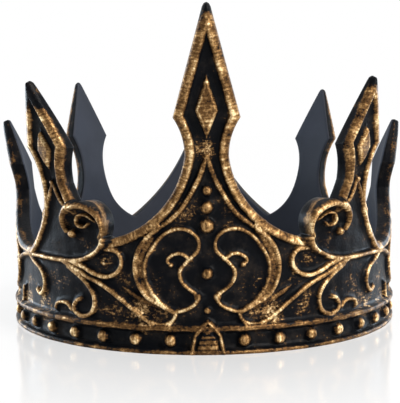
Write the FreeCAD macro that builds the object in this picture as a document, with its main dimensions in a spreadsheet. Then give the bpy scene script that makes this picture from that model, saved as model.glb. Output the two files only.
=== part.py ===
import FreeCAD, Part
import Sketcher
import math
import os

# One-piece moulded costume crown: a round wall with a beaded foot band, eight
# spear-shaped spikes and raised scrollwork. Millimetres, +Z up. The origin is on
# the axis of the head opening, in the plane that the crown stands on, and the
# tallest spike faces -Y. Angles round the wall are counted from that spike
# towards +X, in degrees.

Vector = FreeCAD.Vector
doc = FreeCAD.newDocument("crown")

# Driving dimensions, each written once
SIZES = [
    ("inner_radius", 92.0, "head opening"),
    ("wall_radius", 97.5, "outer face of the plain wall"),
    ("lean_start", 68.0, "height where the wall begins to lean out"),
    ("lean_angle", 11.5, "lean of the spikes, degrees"),
    ("relief_height", 2.4, "how far rims and scrolls stand off the wall"),
    ("volute_height", 6.5, "how far the big volutes stand off the wall"),
    ("root_depth", 2.0, "how far relief reaches into the wall"),
    ("band_height", 12.5, "top of the foot band"),
    ("band_radius", 100.8, "outer radius of the foot band's fillets"),
    ("lip_height", 1.6, "lower fillet of the band"),
    ("fillet_height", 2.2, "upper fillet of the band"),
    ("fillet_slope", 0.8, "rise of the slope beside each fillet"),
    ("band_bead_radius", 2.8, "beads round the band"),
    ("band_bead_places", 38, "places round the band, one taken by the cartouche"),
    ("bead_lift", 0.5, "bead centres outside the wall's face"),
    ("panel_height", 30.0, "scrollwork zone, from the band to the low valleys"),
    ("front_valley_rise", 7.5, "front valleys, above the low valleys"),
    ("rim_width", 4.4, "raised rim along each spike's edge"),
    ("rim_overlap", 1.5, "how far the rims are drawn past the edge"),
    ("rib_width", 2.2, "scroll ribs"),
    ("fine_rib_width", 1.6, "inner ribs"),
    ("tip_half", 1.8, "half the blunt width of a spike's tip"),
    ("tip_rise", 1.8, "height of the tip's rounded end"),
    ("neck_sweep", 28.0, "radius between a spike's neck and shoulder"),
    ("tall_tip", 150.5, "front and back spikes"),
    ("tall_shoulder", 103.5, "height of their widest point"),
    ("tall_shoulder_half", 14.4, "half their width there"),
    ("tall_neck", 87.0, "height of their narrowest point"),
    ("tall_neck_half", 9.5, "half their width there"),
    ("tall_sweep", 44.0, "radius from the neck down to the valley"),
    ("middle_tip", 120.5, "four diagonal spikes"),
    ("middle_shoulder", 90.5, "height of their widest point"),
    ("middle_shoulder_half", 13.8, "half their width there"),
    ("middle_neck", 74.5, "height of their narrowest point"),
    ("middle_neck_half", 8.4, "half their width there"),
    ("middle_sweep", 36.0, "radius from the neck down to the valley"),
    ("short_tip", 103.5, "left and right spikes"),
    ("short_shoulder", 80.0, "height of their widest point"),
    ("short_shoulder_half", 12.5, "half their width there"),
    ("short_neck", 66.5, "height of their narrowest point"),
    ("short_neck_half", 7.8, "half their width there"),
    ("short_sweep", 46.0, "radius from the neck down to the valley"),
    ("front_valley_angle", 26.0, "valleys beside the front spike, degrees"),
    ("side_valley_angle", 58.5, "valleys beside the short spikes, from the front"),
    ("back_valley_angle", 27.0, "valleys beside the back spike, from the back"),
    ("volute_angle", 33.0, "centre of each volute, degrees from the front"),
    ("volute_rise", 56.0, "height of each volute's centre"),
    ("volute_radius", 10.8, "outer radius of a volute"),
    ("volute_eye_radius", 7.4, "hollow inside a volute's turn"),
    ("volute_eye_depth", 3.0, "how deep that hollow is"),
    ("volute_step", 1.0, "how far the wall behind a volute stays inside it"),
    ("lozenge_share", 0.33, "lozenge's width as a share of the shoulder's"),
    ("tall_lozenge_low", 94.4, "front and back lozenges' lower point"),
    ("tall_lozenge_waist", 106.2, "their widest point"),
    ("tall_lozenge_top", 121.0, "their upper point"),
    ("middle_lozenge_low", 80.3, "diagonal lozenges' lower point"),
    ("middle_lozenge_waist", 89.0, "their widest point"),
    ("middle_lozenge_top", 98.5, "their upper point"),
    ("short_lozenge_low", 70.5, "left and right lozenges' lower point"),
    ("short_lozenge_waist", 78.0, "their widest point"),
    ("short_lozenge_top", 86.0, "their upper point"),
    ("side_squash", 0.72, "heart motif pressed down under the short spikes"),
    ("back_squash", 0.82, "motifs pressed down at the back"),
    ("cartouche_half", 8.0, "half the front ornament's width"),
    ("cartouche_rise", 3.4, "its point above the band"),
    ("cartouche_lift", 0.8, "how far it stands off the band's fillets"),
    ("cartouche_haunch", 0.78, "its arch's lower corners, share of the half width"),
    ("cartouche_haunch_rise", 0.55, "their height, share of the whole"),
    ("cartouche_shoulder", 0.42, "its arch's upper corners, share of the half width"),
    ("cartouche_shoulder_rise", 0.8, "their height, share of the whole"),
    ("centre_bead_radius", 3.0, "large beads above each heart motif"),
    ("stud_radius", 1.6, "bead above the cartouche"),
    ("stud_height", 19.3, "height of that bead"),
]

sheet = doc.addObject("Spreadsheet::Sheet", "Dimensions")
for row, (alias, value, note) in enumerate(SIZES, start=1):
    sheet.set(f"A{row}", alias)
    sheet.set(f"B{row}", str(value))
    sheet.set(f"C{row}", note)
    sheet.setAlias(f"B{row}", alias)
doc.recompute()


class Term:
    """A number together with the sheet expression that it comes from."""

    def __init__(self, text, value):
        self.text = text
        self.value = value

    def joined(self, sign, other, value):
        return Term(f"({self.text} {sign} {other.text})", value)

    def __add__(self, other):
        other = as_term(other)
        return self.joined("+", other, self.value + other.value)

    def __sub__(self, other):
        other = as_term(other)
        return self.joined("-", other, self.value - other.value)

    def __mul__(self, other):
        other = as_term(other)
        return self.joined("*", other, self.value * other.value)

    def __neg__(self):
        return Term(f"(-1 * {self.text})", -self.value)


def as_term(number):
    if isinstance(number, Term):
        return number
    return Term(str(float(number)), float(number))


def size(alias):
    return Term("Dimensions." + alias, float(sheet.get(alias)))


def number(alias):
    return float(sheet.get(alias))


def sine(angle):
    return Term(f"sin({angle.text})", math.sin(math.radians(angle.value)))


def tangent(angle):
    return Term(f"tan({angle.text})", math.tan(math.radians(angle.value)))


# Sketches: a closed chain of corners; an edge that is an arc names its radius

def add_sketch(body, label, corners, arcs):
    """Draw corners [(x, z)] in order. arcs = {edge: (radius, side)}, side 1 left."""
    sketch = body.newObject("Sketcher::SketchObject", label)
    plane = [item for item in body.Origin.OriginFeatures if item.Role == "XZ_Plane"][0]
    sketch.AttachmentSupport = [(plane, "")]
    sketch.MapMode = "FlatFace"
    ends = []
    for edge, (start, end) in enumerate(zip(corners, corners[1:] + corners[:1])):
        first = Vector(start[0].value, start[1].value, 0)
        last = Vector(end[0].value, end[1].value, 0)
        if edge in arcs:
            ends.append(add_arc(sketch, first, last, arcs[edge]))
        else:
            ends.append((sketch.addGeometry(Part.LineSegment(first, last), False), 1, 2))
    for edge, (index, start_vertex, _) in enumerate(ends):
        before, _, before_end = ends[edge - 1]
        sketch.addConstraint(
            Sketcher.Constraint("Coincident", before, before_end, index, start_vertex))
        for kind, place in zip(("DistanceX", "DistanceY"), corners[edge]):
            bound = sketch.addConstraint(
                Sketcher.Constraint(kind, -1, 1, index, start_vertex, place.value))
            sketch.setExpression(f"Constraints[{bound}]", place.text)
        if edge in arcs:
            radius = arcs[edge][0]
            bound = sketch.addConstraint(
                Sketcher.Constraint("Radius", index, radius.value))
            sketch.setExpression(f"Constraints[{bound}]", radius.text)
    return sketch


def add_arc(sketch, first, last, arc):
    """An arc from first to last that bulges to the left (1) or right (-1)."""
    radius, side = arc[0].value, arc[1]
    chord = last - first
    across = Vector(-chord.y, chord.x, 0) * (1.0 / chord.Length)
    rise = math.sqrt(radius ** 2 - (chord.Length / 2) ** 2)
    centre = (first + last) * 0.5 - across * (side * rise)
    begin = math.atan2(first.y - centre.y, first.x - centre.x)
    finish = math.atan2(last.y - centre.y, last.x - centre.x)
    circle = Part.Circle(centre, Vector(0, 0, 1), radius)
    if side > 0:
        return sketch.addGeometry(Part.ArcOfCircle(circle, finish, begin), False), 2, 1
    return sketch.addGeometry(Part.ArcOfCircle(circle, begin, finish), False), 1, 2


def revolved_body(label, corners, arcs):
    body = doc.addObject("PartDesign::Body", label)
    sketch = add_sketch(body, label + "Profile", corners, arcs)
    turn = body.newObject("PartDesign::Revolution", label + "Turn")
    turn.Profile = sketch
    turn.ReferenceAxis = (sketch, ["V_Axis"])
    turn.Angle = 360
    sketch.Visibility = False
    return body


# Wall section: upright, then one straight lean outward to the tips

SECTION_TOP = size("tall_tip") + size("relief_height")
REACH = size("wall_radius") * 2


def section_side(offset):
    """The section's bend and top, at an offset square to the wall's outer face."""
    half_lean = size("lean_angle") * 0.5
    bend = (size("wall_radius") + offset, size("lean_start") - offset * tangent(half_lean))
    top = (bend[0] + (SECTION_TOP - bend[1]) * tangent(size("lean_angle")), SECTION_TOP)
    return bend, top


def leaning_shell(label, inner_offset, outer_offset, bottom):
    """A turned shell that follows the wall between two offsets from its face."""
    outer_bend, outer_top = section_side(outer_offset)
    inner_bend, inner_top = section_side(inner_offset)
    corners = [(inner_bend[0], bottom), (outer_bend[0], bottom),
               outer_bend, outer_top, inner_top, inner_bend]
    return revolved_body(label, corners, {})


def face_radius(height, offset=0.0):
    """Radius of the wall's face at a height, with an offset square to it."""
    bend, _ = section_side(as_term(offset))
    rise = max(height - bend[1].value, 0)
    return bend[0].value + rise * math.tan(math.radians(number("lean_angle")))


WALL_DEPTH = size("wall_radius") - size("inner_radius")
relief_shell = leaning_shell("ReliefShell", -size("root_depth"), size("relief_height"),
                             size("band_height") - size("fillet_height"))
volute_shell = leaning_shell("VoluteShell", -size("root_depth"), size("volute_height"),
                             size("band_height") + size("fillet_height"))


def wall_body():
    """The whole wall as turned: foot band with its two fillets, wall and lean."""
    low_slope = size("lip_height") + size("fillet_slope")
    high = size("band_height") - size("fillet_height")
    outer_bend, outer_top = section_side(as_term(0))
    inner_bend, inner_top = section_side(-WALL_DEPTH)
    corners = [(size("inner_radius"), as_term(0)),
               (size("band_radius"), as_term(0)),
               (size("band_radius"), size("lip_height")),
               (size("wall_radius"), low_slope),
               (size("wall_radius"), high - size("fillet_slope")),
               (size("band_radius"), high),
               (size("band_radius"), size("band_height")),
               (size("wall_radius"), size("band_height") + size("fillet_slope")),
               outer_bend, outer_top, inner_top, inner_bend]
    return revolved_body("TurnedWall", corners, {})


turned_wall = wall_body()

# Spikes: each is a flat outline that faces outward and cuts the wall radially

LOW_VALLEY = size("band_height") + size("panel_height")
FRONT_VALLEY = LOW_VALLEY + size("front_valley_rise")


def valley(spike_angle, valley_angle, height):
    """Half width and height of a valley, seen square to its spike."""
    return size("wall_radius") * sine(valley_angle - spike_angle), height


RIGHT = as_term(90)
FRONT = as_term(0)
MIDDLE = as_term(45)
BACK = as_term(180)
front_valley = valley(FRONT, size("front_valley_angle"), FRONT_VALLEY)
diagonal_front = valley(-MIDDLE, -size("front_valley_angle"), FRONT_VALLEY)
diagonal_side = valley(MIDDLE, size("side_valley_angle"), LOW_VALLEY)
short_valley = valley(size("side_valley_angle"), RIGHT, LOW_VALLEY)
rear_side = valley(BACK - size("side_valley_angle"), RIGHT + MIDDLE, LOW_VALLEY)
rear_back = valley(RIGHT + MIDDLE, BACK - size("back_valley_angle"), LOW_VALLEY)
back_valley = valley(FRONT, size("back_valley_angle"), LOW_VALLEY)

# angle round the wall, kind, valley on the lower-angle side, valley on the other
SPIKES = [
    (0, "tall", front_valley, front_valley),
    (45, "middle", diagonal_front, diagonal_side),
    (90, "short", short_valley, short_valley),
    (135, "middle", rear_side, rear_back),
    (180, "tall", back_valley, back_valley),
    (225, "middle", rear_back, rear_side),
    (270, "short", short_valley, short_valley),
    (315, "middle", diagonal_side, diagonal_front),
]


def spike_body(angle, kind, low_side, high_side):
    shoulder = (size(kind + "_shoulder_half"), size(kind + "_shoulder"))
    neck = (size(kind + "_neck_half"), size(kind + "_neck"))
    blunt = (size("tip_half"), size(kind + "_tip") - size("tip_rise"))
    tip = (as_term(0), size(kind + "_tip"))
    corners = [(-low_side[0], as_term(0)), (high_side[0], as_term(0)),
               high_side, neck, shoulder, blunt, tip,
               (-blunt[0], blunt[1]), (-shoulder[0], shoulder[1]),
               (-neck[0], neck[1]), (-low_side[0], low_side[1])]
    sweep = size(kind + "_sweep")
    bend = size("neck_sweep")
    arcs = {2: (sweep, 1), 3: (bend, 1), 8: (bend, 1), 9: (sweep, 1)}
    body = doc.addObject("PartDesign::Body", f"Spike{angle:03d}")
    sketch = add_sketch(body, f"Spike{angle:03d}Outline", corners, arcs)
    pad = body.newObject("PartDesign::Pad", f"Spike{angle:03d}Pad")
    pad.Profile = sketch
    reach = REACH
    pad.Length = reach.value
    pad.setExpression("Length", reach.text)
    body.Placement.Rotation = FreeCAD.Rotation(Vector(0, 0, 1), angle)
    sketch.Visibility = False
    return body, sketch


spikes = [spike_body(*spike) for spike in SPIKES]

# Volutes: round buttons through the wall, standing well proud, with a hollow eye

eye_shell = leaning_shell("EyeShell", size("volute_height") - size("volute_eye_depth"),
                          size("volute_height") + size("root_depth"),
                          size("band_height") + size("fillet_height"))


def radial_cylinder(label, radius, angle, height):
    """A cylinder from the axis outward, at an angle round the wall."""
    rod = doc.addObject("Part::Cylinder", label)
    rod.setExpression("Radius", radius.text)
    rod.Height = REACH.value
    rod.setExpression("Height", REACH.text)
    turn = FreeCAD.Rotation(Vector(0, 0, 1), angle)
    lie_outward = FreeCAD.Rotation(Vector(1, 0, 0), 90)
    rod.Placement = FreeCAD.Placement(Vector(0, 0, height.value), turn * lie_outward)
    rod.setExpression("Placement.Base.z", height.text)
    return rod


def boolean(kind, label, base, tool):
    cut = doc.addObject("Part::" + kind, label)
    cut.Base = base
    cut.Tool = tool
    cut.Refine = False
    return cut


def fused(label, shapes):
    union = doc.addObject("Part::MultiFuse", label)
    union.Shapes = shapes
    union.Refine = False
    return union


volute_rods = []
volutes = []
for side, name in ((1, "Right"), (-1, "Left")):
    angle = side * number("volute_angle")
    rise = size("volute_rise")
    core = size("volute_radius") - size("volute_step")
    volute_rods.append(radial_cylinder(name + "VoluteCore", core, angle, rise))
    rod = radial_cylinder(name + "VoluteRod", size("volute_radius"), angle, rise)
    eye_rod = radial_cylinder(name + "EyeRod", size("volute_eye_radius"), angle, rise)
    button = boolean("Common", name + "VoluteButton", volute_shell, rod)
    eye = boolean("Common", name + "VoluteEye", eye_shell, eye_rod)
    volutes.append(boolean("Cut", name + "Volute", button, eye))

# The outline of the whole crown: a low ring, the spikes and a core for each volute

low_ring = doc.addObject("Part::Cylinder", "LowRing")
low_ring.setExpression("Radius", REACH.text)
low_ring.setExpression("Height", LOW_VALLEY.text)
outline = fused("CrownOutline", [low_ring] + volute_rods + [item[0] for item in spikes])
doc.recompute()

# Scrollwork, drawn as centre lines: (degrees from the motif's middle, height).
# It was drawn for a band and a panel of these heights and is fitted to the real ones.

DRAWN_BAND = 12.5
DRAWN_PANEL = 30.0

HEART_RIB = [(12.6, 58.1), (14.4, 52.5), (18.0, 45.5), (18.8, 39.7), (18.3, 32.0),
             (15.3, 24.5), (8.7, 18.7)]
KIDNEY_RIB = [(2.6, 26.0), (6.2, 30.6), (6.9, 36.2), (3.0, 44.5), (2.2, 49.8),
              (5.8, 55.2), (10.9, 53.2), (15.4, 43.0), (16.0, 33.5), (13.3, 24.8),
              (8.1, 18.8), (4.2, 20.3), (2.4, 22.6)]
LONG_BRANCH = [(42.0, 38.0), (31.5, 31.2), (23.7, 24.3), (13.3, 12.7)]
LOOP_RIB = [(34.6, 37.2), (27.6, 32.7), (22.4, 38.5), (26.4, 45.3)]
HIGH_BRANCH = [(72.0, 33.5), (63.5, 37.6), (45.0, 38.5), (34.0, 40.4), (28.4, 48.5)]
LOW_CURL = [(40.5, 35.7), (33.6, 29.3), (31.0, 20.2), (34.6, 13.8), (38.2, 17.4),
            (36.0, 21.6)]
SMALL_CURL = [(39.0, 15.5), (42.0, 19.0), (45.6, 15.5)]
SIDE_CURL = [(57.5, 35.5), (51.3, 29.0), (51.7, 22.0), (55.4, 22.0)]
OGEE_RIB = [(0.0, 0.0), (1.8, 0.2), (4.2, 0.38), (7.2, 0.55), (12.0, 0.7)]

PAD_BACK = number("inner_radius") / 2
PAD_FRONT = REACH.value
ARC_RUNS = 3


def drawn_height(height, squash):
    scale = squash * number("panel_height") / DRAWN_PANEL
    return number("band_height") + (height - DRAWN_BAND) * scale


def flat_point(angle, height, middle, squash):
    """A point of the drawing on the plane that faces a motif's own direction."""
    rise = drawn_height(height, squash)
    radius = face_radius(rise, number("relief_height"))
    return Vector(radius * math.sin(math.radians(angle - middle)), 0, rise)


def outward_solid(face):
    """Push a flat face outward through the wall."""
    moved = face.translated(Vector(0, -PAD_BACK, 0))
    return moved.extrude(Vector(0, PAD_BACK - PAD_FRONT, 0))


def polygon(points):
    return Part.Face(Part.makePolygon(points + points[:1]))


def rib(points, width):
    """A rib of even width along a smooth centre line, in short straight runs."""
    line = Part.BSplineCurve()
    line.interpolate(points)
    steps = len(points) - 1
    left = []
    right = []
    for step in range(steps + 1):
        share = step / steps
        place = line.FirstParameter + share * (line.LastParameter - line.FirstParameter)
        along = line.tangent(place)[0]
        across = Vector(-along.z, 0, along.x) * (width / 2)
        left.append(line.value(place) + across)
        right.append(line.value(place) - across)
    return polygon(left + right[::-1])


def both_sides(faces):
    """Faces together with their mirror images across a motif's middle."""
    return faces + [face.mirror(Vector(0, 0, 0), Vector(1, 0, 0)) for face in faces]


def drawn_rib(points, width, middle, squash):
    return rib([flat_point(a, z, middle, squash) for a, z in points], number(width))


def heart_faces(squash):
    half = [drawn_rib(HEART_RIB, "rib_width", 0, squash),
            drawn_rib(KIDNEY_RIB, "fine_rib_width", 0, squash)]
    return both_sides(half)


def branch_faces(squash):
    ribs = [(LONG_BRANCH, "rib_width"), (LOOP_RIB, "rib_width"),
            (HIGH_BRANCH, "rib_width"), (LOW_CURL, "rib_width"),
            (SMALL_CURL, "fine_rib_width"), (SIDE_CURL, "rib_width")]
    return [drawn_rib(points, width, 45, squash) for points, width in ribs]


def lozenge_face(kind):
    half = number(kind + "_shoulder_half") * number("lozenge_share")
    low = Vector(0, 0, number(kind + "_lozenge_low"))
    waist = number(kind + "_lozenge_waist")
    high = Vector(0, 0, number(kind + "_lozenge_top"))
    return polygon([low, Vector(half, 0, waist), high, Vector(-half, 0, waist)])


def straight_runs(wire):
    """A wire's corners in order, with each arc taken as a few straight runs."""
    points = []
    for edge in wire.OrderedEdges:
        count = 2 if isinstance(edge.Curve, Part.Line) else ARC_RUNS + 1
        run = edge.discretize(count)
        if points and run[-1].distanceToPoint(points[-1]) < run[0].distanceToPoint(points[-1]):
            run = run[::-1]
        points += run[:-1]
    return points


def rim_face(sketch, spike):
    """A band along the spike's edge, drawn past the edge and trimmed later."""
    _, kind, low_side, high_side = spike
    outline_wire = sketch.Shape.Wires[0]
    band_width = number("rim_width")
    outside = polygon(straight_runs(outline_wire.makeOffset2D(number("rim_overlap"))))
    inside = polygon(straight_runs(outline_wire.makeOffset2D(-band_width)))
    low = Vector(-low_side[0].value - band_width, 0, low_side[1].value - band_width)
    high = Vector(high_side[0].value + band_width, 0, high_side[1].value - band_width)
    top = SECTION_TOP.value
    above = polygon([low, high, Vector(high.x, 0, top), Vector(low.x, 0, top)])
    return outside.cut(inside).common(above).Faces[0]


def ogee_faces(kind):
    neck = number(kind + "_neck")
    drop = neck - LOW_VALLEY.value
    radius = number("wall_radius")
    points = [Vector(radius * math.sin(math.radians(angle)), 0, neck - fall * drop)
              for angle, fall in OGEE_RIB]
    return both_sides([rib(points, number("fine_rib_width"))])


def drawing(label, faces, angle):
    """Flat faces pushed outward, joined and turned to their place."""
    solids = [outward_solid(face) for face in faces]
    shape = solids[0]
    if len(solids) > 1:
        shape = shape.fuse(solids[1:]).removeSplitter()
    item = doc.addObject("Part::Feature", label)
    item.Shape = shape
    item.Placement.Rotation = FreeCAD.Rotation(Vector(0, 0, 1), angle)
    return item


drawings = []
for (body, sketch), spike in zip(spikes, SPIKES):
    angle, kind = spike[:2]
    drawings.append(drawing(f"Rim{angle:03d}", [rim_face(sketch, spike)], angle))
    drawings.append(drawing(f"Lozenge{angle:03d}", [lozenge_face(kind)], angle))
    if kind == "tall":
        drawings.append(drawing(f"Ogee{angle:03d}", ogee_faces(kind), angle))

# angle round the wall and how far the motif is pressed down to fit under the wall's edge
for angle, squash in ((0, 1.0), (90, number("side_squash")),
                      (180, number("back_squash")), (270, number("side_squash"))):
    drawings.append(drawing(f"Heart{angle:03d}", heart_faces(squash), angle))
for angle, squash in ((45, 1.0), (135, number("back_squash"))):
    right = branch_faces(squash)
    left = [face.mirror(Vector(0, 0, 0), Vector(1, 0, 0)) for face in right]
    if angle > 90:
        right, left = left, right
    drawings.append(drawing(f"Branch{angle:03d}", right, angle))
    drawings.append(drawing(f"Branch{360 - angle:03d}", left, 360 - angle))


# Beads: short faceted studs that point outward

def bead(label, radius, angle, height, root):
    rod = doc.addObject("Part::Prism", label)
    rod.Polygon = BEAD_FACETS
    rod.setExpression("Circumradius", radius.text)
    length = radius + size("bead_lift") + size("root_depth")
    rod.setExpression("Height", length.text)
    turn = FreeCAD.Rotation(Vector(0, 0, 1), angle)
    outward = turn.multVec(Vector(0, -1, 0))
    rod.Placement = FreeCAD.Placement(Vector(0, 0, height) + outward * root,
                                      turn * FreeCAD.Rotation(Vector(1, 0, 0), 90))
    return rod


def make_beads():
    root = number("wall_radius") - number("root_depth")
    beads = []
    places = int(number("band_bead_places"))
    middle = (number("lip_height") + number("band_height") - number("fillet_height")) / 2
    for place in range(1, places):
        angle = 360.0 / places * place
        beads.append(bead(f"BandBead{place:02d}", size("band_bead_radius"), angle, middle, root))
    stud = number("stud_height")
    beads.append(bead("FrontStud", size("stud_radius"), 0, stud, root))
    for angle in (0, 180):
        squash = 1.0 if angle == 0 else number("back_squash")
        for order, (height, share) in enumerate(CENTRE_BEADS):
            rise = drawn_height(height, squash)
            radius = size("centre_bead_radius") * share
            beads.append(bead(f"Bead{angle:03d}_{order}", radius, angle, rise,
                              face_radius(rise) - number("root_depth")))
    return beads


BEAD_FACETS = 8

# height as drawn, radius as a share of the largest bead's
CENTRE_BEADS = [(72.0, 0.7), (64.7, 0.9), (56.6, 1.0), (35.7, 0.85)]
beads = make_beads()


# Cartouche: a pointed arch over the foot band at the front, with a domed middle

def plate(face, start, end):
    """A flat face pushed outward from one distance to another."""
    return face.translated(Vector(0, -start, 0)).extrude(Vector(0, start - end, 0))


def cartouche():
    top = number("band_height") + number("cartouche_rise")
    half = number("cartouche_half")
    width = number("fine_rib_width")
    front = number("band_radius") + number("cartouche_lift")
    back = number("wall_radius") - number("root_depth")
    corners = [(half, 0),
               (half * number("cartouche_haunch"), top * number("cartouche_haunch_rise")),
               (half * number("cartouche_shoulder"), top * number("cartouche_shoulder_rise"))]
    right = [Vector(x, 0, z) for x, z in corners]
    left = [Vector(-x, 0, z) for x, z in corners]
    outer = polygon(right + [Vector(0, 0, top)] + left[::-1])
    hollow = Part.Face(outer.OuterWire.makeOffset2D(-width))
    dome = Part.Face(outer.OuterWire.makeOffset2D(-2 * width))
    solid = plate(outer, back, front)
    solid = solid.cut(plate(hollow, front - width, front + width))
    solid = solid.fuse(plate(dome, back, front)).removeSplitter()
    item = doc.addObject("Part::Feature", "Cartouche")
    item.Shape = solid
    return item


# All relief is trimmed to one shell, joined to the wall and cut to the outline

all_drawings = fused("AllDrawings", drawings)
all_relief = boolean("Common", "Relief", relief_shell, all_drawings)
carved_wall = fused("CarvedWall", [turned_wall, all_relief])
cut_wall = boolean("Common", "CutWall", carved_wall, outline)
crown = fused("Crown", [cut_wall, cartouche()] + volutes + beads)
crown.Label = "crown"
doc.recompute()

for item in doc.Objects:
    if "Invalid" in item.State or "Error" in item.State:
        raise RuntimeError("failed: " + item.Label)
if crown.Shape.isNull() or not crown.Shape.isValid() or len(crown.Shape.Solids) != 1:
    raise RuntimeError("the crown is not one valid solid")
print(crown.Label, round(crown.Shape.Volume), "cubic millimetres", crown.Shape.BoundBox)

os.makedirs("parts", exist_ok=True)
crown.Shape.exportStep("parts/" + crown.Label + ".step")
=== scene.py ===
import math

import bmesh
import bpy
import numpy as np
from mathutils import Matrix, Vector
from mathutils.geometry import delaunay_2d_cdt


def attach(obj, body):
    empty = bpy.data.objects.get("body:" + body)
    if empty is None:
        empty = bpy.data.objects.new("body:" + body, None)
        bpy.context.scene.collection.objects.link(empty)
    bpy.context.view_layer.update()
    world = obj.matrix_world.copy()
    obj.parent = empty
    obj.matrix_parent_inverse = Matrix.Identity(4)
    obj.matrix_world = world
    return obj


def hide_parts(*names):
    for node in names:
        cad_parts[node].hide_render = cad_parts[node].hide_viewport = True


# Looks of a one-piece moulded costume crown: gold brushed over black, slate inside.
# The crown is one continuous mesh. Its right half is drawn unrolled, as (along, height)
# in millimetres with the length along the wall counted from the front spike towards +X.
# Each point is lifted off the wall by the height of the relief there, the sheet is rolled
# up round the head opening, and the left half is its mirror image.

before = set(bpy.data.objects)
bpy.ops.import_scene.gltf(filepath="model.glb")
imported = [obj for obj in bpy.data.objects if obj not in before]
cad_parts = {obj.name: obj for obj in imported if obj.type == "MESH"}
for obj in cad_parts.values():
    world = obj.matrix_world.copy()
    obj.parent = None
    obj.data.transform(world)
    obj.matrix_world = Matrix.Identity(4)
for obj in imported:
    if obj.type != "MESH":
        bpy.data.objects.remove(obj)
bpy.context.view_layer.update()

MM = 0.001

# Wall and foot band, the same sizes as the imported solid
WALL_RADIUS = 97.5
INNER_RADIUS = 92.0
LEAN = math.tan(math.radians(11.5))
LEAN_START = 68.0
LEAN_BLEND = 10.0
UNROLL = 98.0
HALF_TURN = math.pi * UNROLL
BAND_TOP = 12.5
FILLET = 3.3
LOW_FILLET_MIDDLE = 0.8
LOW_FILLET_HALF = 1.3
TOP_FILLET_MIDDLE = 11.4
TOP_FILLET_HALF = 1.7
LOW_VALLEY = 42.5
FRONT_VALLEY = 50.0
BACK_SQUASH = 0.82
SIDE_SQUASH = 0.72

# Relief
RELIEF = 2.4
RIM_WIDTH = 4.4
RIM_RIDGE = 3.0
RIM_EDGE = 1.3
RIM_FOOT = 0.4
BAR_GILT = 0.66
RIB = 2.6
FINE_RIB = 1.9
SKIRT = 1.35
SKIRT_HEIGHT = 0.32
OUTER_ROUND = 1.0
INNER_ROUND = 0.6
TIP_OUTER_ROUND = 1.2
TIP_THINNING = 3.0
UNEVENNESS = 0.10

# Volutes
VOLUTE_ANGLE = 33.0
VOLUTE_RISE = 56.0
VOLUTE_RADIUS = 10.8
VOLUTE_HEIGHT = 6.3
VOLUTE_END_HEIGHT = 3.4
VOLUTE_OUTER_FALL = 3.4

# Spikes: tip, shoulder and its half width, neck and its half width, sweep radius
KINDS = {
    "tall": (150.5, 103.5, 14.4, 87.0, 9.5, 44.0),
    "middle": (120.5, 90.5, 13.8, 74.5, 8.4, 36.0),
    "short": (103.5, 80.0, 12.5, 66.5, 7.8, 46.0),
}
NECK_SWEEP = 28.0
BACK_SWEEP = 110.0
TIP_HALF = 1.8
TIP_RISE = 1.8

# Angle, kind, and the valleys before and after it as (angle, height)
SPIKES = [
    (0, "tall", (-26.0, FRONT_VALLEY), (26.0, FRONT_VALLEY)),
    (45, "middle", (26.0, FRONT_VALLEY), (58.5, LOW_VALLEY)),
    (90, "short", (58.5, LOW_VALLEY), (121.5, LOW_VALLEY)),
    (135, "middle", (121.5, LOW_VALLEY), (153.0, LOW_VALLEY)),
    (180, "tall", (153.0, LOW_VALLEY), (207.0, LOW_VALLEY)),
]

# Lozenges: lowest, widest and highest point
LOZENGES = {
    "tall": (94.4, 106.2, 121.0),
    "middle": (80.3, 89.0, 98.5),
    "short": (70.5, 78.0, 86.0),
}
LOZENGE_SHARE = 0.33

# Scrollwork centre lines, (degrees from the motif's middle, height)
HEART_RIB = [(12.6, 58.1), (13.5, 54.5), (16.0, 50.3), (17.8, 45.7), (18.8, 39.7),
             (18.6, 34.3), (17.4, 28.9), (15.3, 24.5), (12.1, 21.6), (8.7, 18.7)]
KIDNEY_RIB = [(2.6, 26.4), (4.4, 28.5), (6.2, 31.2), (7.0, 34.2), (6.9, 37.2),
              (5.5, 40.3), (3.9, 43.0), (2.6, 45.2), (2.0, 48.3), (2.6, 51.7),
              (4.6, 54.5), (7.0, 55.3), (9.4, 54.4), (11.9, 51.6), (13.9, 47.1),
              (15.8, 41.6), (16.2, 36.0), (15.3, 30.2), (13.3, 24.8), (10.6, 20.9),
              (8.1, 18.8), (5.8, 19.6), (3.6, 21.5), (2.3, 24.4)]
HOOK_RIB = [(4.3, 41.7), (6.4, 44.2), (8.3, 44.1), (9.9, 42.5), (10.2, 40.7), (9.3, 39.4)]
STEM_RIB = [(8.1, 18.7), (8.3, 16.6), (9.3, 14.2), (11.0, 12.9), (13.0, 12.7)]
LONG_BRANCH = [(42.0, 38.0), (37.0, 35.0), (32.8, 32.0), (28.3, 29.0), (23.7, 24.3),
               (18.9, 18.3), (16.0, 14.8), (13.3, 12.7)]
LEAF_RIB = [(22.5, 28.8), (16.7, 23.1), (12.3, 19.7)]
LOOP_RIB = [(39.0, 38.6), (34.6, 36.6), (31.0, 34.0), (27.6, 32.9), (24.6, 34.4), (22.8, 37.8),
            (22.7, 41.8), (24.3, 44.8), (27.2, 45.4)]
HIGH_BRANCH = [(72.0, 33.5), (63.5, 37.6), (53.0, 38.7), (45.0, 38.5), (38.7, 38.8),
               (34.0, 40.4), (30.2, 43.6), (27.8, 47.5), (27.0, 51.0)]
VOLUTE_CREST = [(34.0, 40.4), (30.2, 43.6), (27.8, 47.5), (27.0, 51.0), (27.1, 55.0),
                (28.0, 58.8), (29.9, 61.9), (32.6, 63.8), (35.8, 64.1), (38.8, 62.6),
                (40.7, 59.2), (40.9, 55.2), (39.8, 51.9)]
VOLUTE_CURL = [(31.0, 58.0), (33.0, 60.3), (35.2, 59.9), (36.0, 57.4), (35.1, 55.2),
               (33.3, 54.8), (32.6, 56.1)]
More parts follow.
